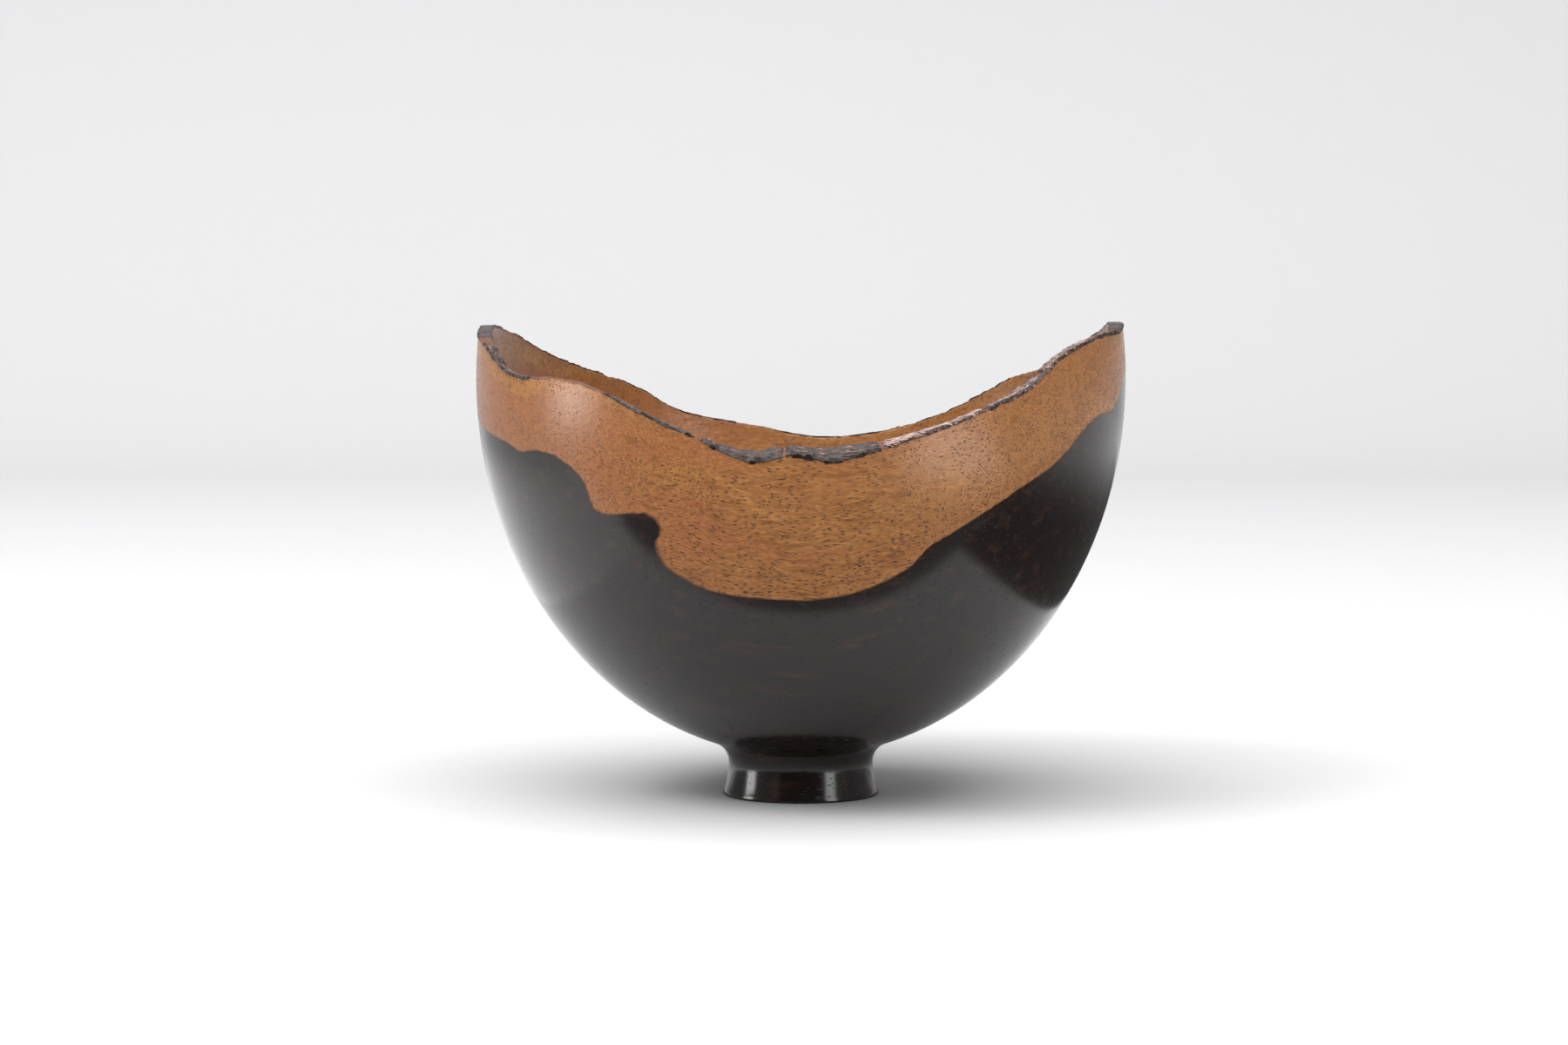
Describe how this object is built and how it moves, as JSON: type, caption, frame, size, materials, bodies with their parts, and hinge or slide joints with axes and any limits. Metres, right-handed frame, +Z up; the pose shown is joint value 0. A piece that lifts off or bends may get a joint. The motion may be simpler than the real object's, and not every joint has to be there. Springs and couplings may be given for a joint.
{
  "type": "natural-edge turned wooden bowl",
  "caption": "Small round-bottomed bowl turned from a log: black heartwood on a flared foot, tan sapwood wall, and a wavy natural rim with remnants of bark.",
  "frame": {"origin": "middle of the foot's standing face, on the turning axis", "axes": "+Z up along the turning axis, X along the log's own length so that the two high tips are at +X and -X, -Y towards the side shown as the front"},
  "size_m": [0.15, 0.1475, 0.1113],
  "materials": {
    "heartwood": "satin oiled and buffed",
    "sapwood": "satin oiled and buffed",
    "bark": "natural inner bark, lightly oiled"
  },
  "bodies": {
    "root": {"heartwood_bowl": "heartwood", "sapwood_wall": "sapwood", "bark_right_tip": "bark", "bark_back_right": "bark", "bark_back_strip": "bark", "bark_back": "bark", "bark_back_left": "bark", "bark_back_scale": "bark", "bark_left_tip": "bark", "bark_left_fleck": "bark", "bark_left_scale": "bark", "bark_left_strip": "bark", "bark_front_left": "bark", "bark_front": "bark", "bark_front_right": "bark", "bark_right_shoulder": "bark", "bark_right_scale": "bark", "bark_right_lobe": "bark"}
  },
  "joints": []
}
